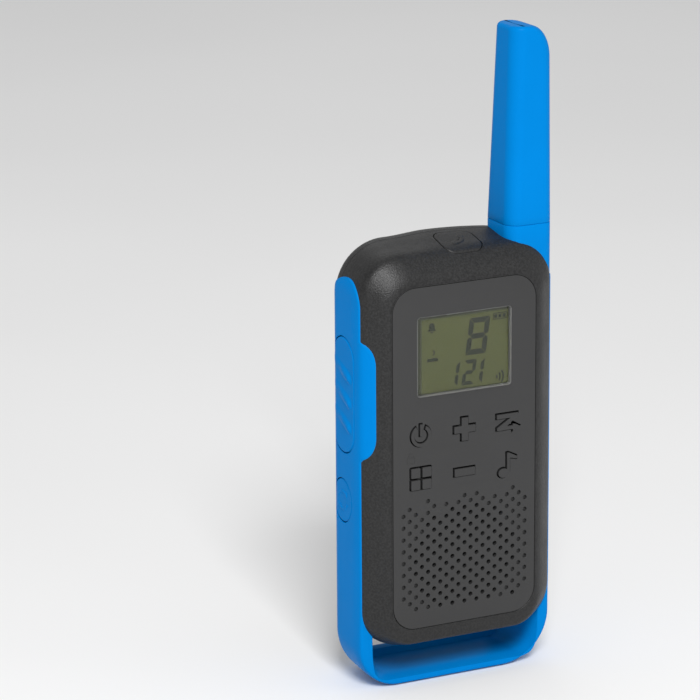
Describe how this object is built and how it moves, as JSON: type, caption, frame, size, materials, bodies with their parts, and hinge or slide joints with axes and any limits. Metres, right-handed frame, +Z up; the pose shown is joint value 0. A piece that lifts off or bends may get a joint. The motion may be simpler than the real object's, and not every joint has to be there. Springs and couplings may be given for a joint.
{
  "type": "handheld two-way radio",
  "caption": "Slim handheld two-way radio with a fixed blade antenna, display, icon keys, speaker grille, side push-to-talk bar, belt clip and a wrist loop under the casing.",
  "frame": {"origin": "centre of the foot face under the wrist loop", "axes": "+X to the right seen from the front, +Y from front to back, +Z up along the antenna"},
  "size_m": [0.0548, 0.0339, 0.1635],
  "materials": {
    "casing_black": "fine spark-eroded grain",
    "panel_grey": "smooth matte",
    "frame_blue": "satin",
    "lens_clear": "polished clear plastic",
    "lcd_glass": "polished over a green reflective layer",
    "light_guide": "satin white",
    "circuit_board": "solder mask",
    "sheet_metal": "tinned",
    "chip_black": "moulded",
    "speaker_basket": "black coated",
    "cone_paper": "pressed",
    "black_rubber": "matte",
    "blue_rubber": "satin",
    "key_rubber": "matte",
    "screw_steel": "plated",
    "spring_steel": "bright drawn",
    "gold_brass": "plated",
    "cell_wrap": "shrink film",
    "pack_wrap": "shrink film"
  },
  "bodies": {
    "radio": {"front_housing": "casing_black", "rear_housing": "casing_black", "side_frame": "frame_blue", "antenna_sheath": "frame_blue", "antenna_coil": "gold_brass", "antenna_contact": "gold_brass", "front_panel": "panel_grey", "display_window": "lens_clear", "lcd_module": "lcd_glass", "lcd_holder": "light_guide", "display_board": "circuit_board", "board_connector": "chip_black", "main_board": "circuit_board", "rf_shield": "sheet_metal", "board_components": "chip_black", "speaker_frame": "speaker_basket", "speaker_cone": "cone_paper", "speaker_gasket": "black_rubber", "microphone": "sheet_metal", "microphone_boot": "black_rubber", "housing_seal": "black_rubber", "housing_screws": "screw_steel", "board_screws": "screw_steel", "battery_cells": "cell_wrap", "battery_wrap": "pack_wrap", "battery_contacts": "sheet_metal", "clip_pin": "screw_steel", "clip_spring": "spring_steel", "clip_bracket": "casing_black", "usb_socket": "sheet_metal", "accessory_jack": "chip_black", "ptt_switch": "chip_black", "pairing_switch": "chip_black", "call_switch": "chip_black", "key_domes": "spring_steel"},
    "belt_clip": {"belt_clip": "casing_black"},
    "battery_door": {"battery_door": "casing_black"},
    "port_cover": {"port_cover": "blue_rubber"},
    "ptt_button": {"ptt_button": "frame_blue"},
    "pairing_button": {"pairing_button": "frame_blue"},
    "call_button": {"call_button": "casing_black"},
    "key_power": {"key_power": "key_rubber"},
    "key_plus": {"key_plus": "key_rubber"},
    "key_scan": {"key_scan": "key_rubber"},
    "key_menu": {"key_menu": "key_rubber"},
    "key_minus": {"key_minus": "key_rubber"},
    "key_note": {"key_note": "key_rubber"}
  },
  "joints": [
    {"name": "ptt_press", "type": "slide", "parent": "radio", "child": "ptt_button", "axis": [1, 0, 0], "range_m": [0, 0.001], "stiffness_N_per_m": 1500},
    {"name": "pairing_press", "type": "slide", "parent": "radio", "child": "pairing_button", "axis": [1, 0, 0], "range_m": [0, 0.0006], "stiffness_N_per_m": 2000},
    {"name": "call_press", "type": "slide", "parent": "radio", "child": "call_button", "axis": [0, 0, -1], "range_m": [0, 0.0006], "stiffness_N_per_m": 2000},
    {"name": "power_key_press", "type": "slide", "parent": "radio", "child": "key_power", "axis": [0, 1, 0], "range_m": [0, 0.0006], "stiffness_N_per_m": 2000},
    {"name": "plus_key_press", "type": "slide", "parent": "radio", "child": "key_plus", "axis": [0, 1, 0], "range_m": [0, 0.0006], "stiffness_N_per_m": 2000},
    {"name": "scan_key_press", "type": "slide", "parent": "radio", "child": "key_scan", "axis": [0, 1, 0], "range_m": [0, 0.0006], "stiffness_N_per_m": 2000},
    {"name": "menu_key_press", "type": "slide", "parent": "radio", "child": "key_menu", "axis": [0, 1, 0], "range_m": [0, 0.0006], "stiffness_N_per_m": 2000},
    {"name": "minus_key_press", "type": "slide", "parent": "radio", "child": "key_minus", "axis": [0, 1, 0], "range_m": [0, 0.0006], "stiffness_N_per_m": 2000},
    {"name": "note_key_press", "type": "slide", "parent": "radio", "child": "key_note", "axis": [0, 1, 0], "range_m": [0, 0.0006], "stiffness_N_per_m": 2000},
    {"name": "belt_clip_pivot", "type": "hinge", "parent": "radio", "child": "belt_clip", "pos_m": [0, 0.0164, 0.096], "axis": [1, 0, 0], "range_deg": [0, 14], "stiffness_Nm_per_rad": 0.6},
    {"name": "battery_door_lift", "type": "slide", "parent": "radio", "child": "battery_door", "axis": [0, 1, 0], "range_m": [0, 0.03]},
    {"name": "port_cover_swing", "type": "hinge", "parent": "radio", "child": "port_cover", "pos_m": [0.02715, -0.0024, 0.063], "axis": [0, 1, 0], "range_deg": [-100, 0]}
  ]
}
